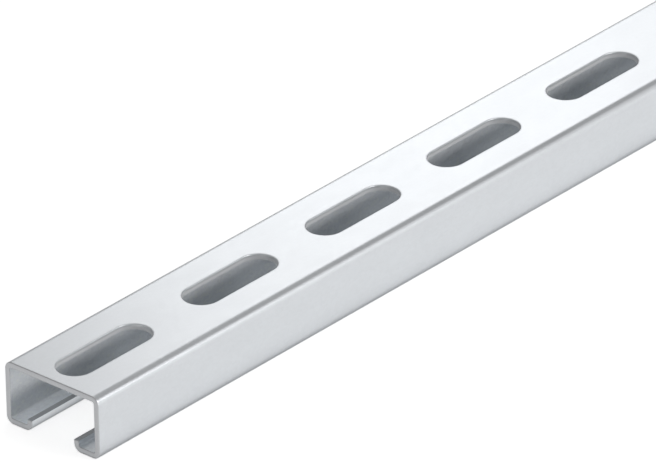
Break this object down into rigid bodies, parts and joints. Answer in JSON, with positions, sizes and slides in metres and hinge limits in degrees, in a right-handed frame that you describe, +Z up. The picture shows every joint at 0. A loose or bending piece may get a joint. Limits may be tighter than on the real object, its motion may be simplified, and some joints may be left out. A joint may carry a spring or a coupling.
{
  "type": "strut channel",
  "caption": "Lipped C strut channel in galvanised steel, with a row of lengthwise slots punched through its web.",
  "frame": {"origin": "middle of the footprint, on the plane of the lips' undersides", "axes": "+X along the length, from the end whose first slot starts 5 mm in towards the other; +Y across the web; +Z up, from the open side towards the web"},
  "size_m": [0.6, 0.04, 0.0225],
  "materials": {
    "galvanised_steel": "strip-galvanised steel, smooth and bright, with faint rolling lines along the length"
  },
  "bodies": {
    "root": {"channel": "galvanised_steel"}
  },
  "joints": []
}
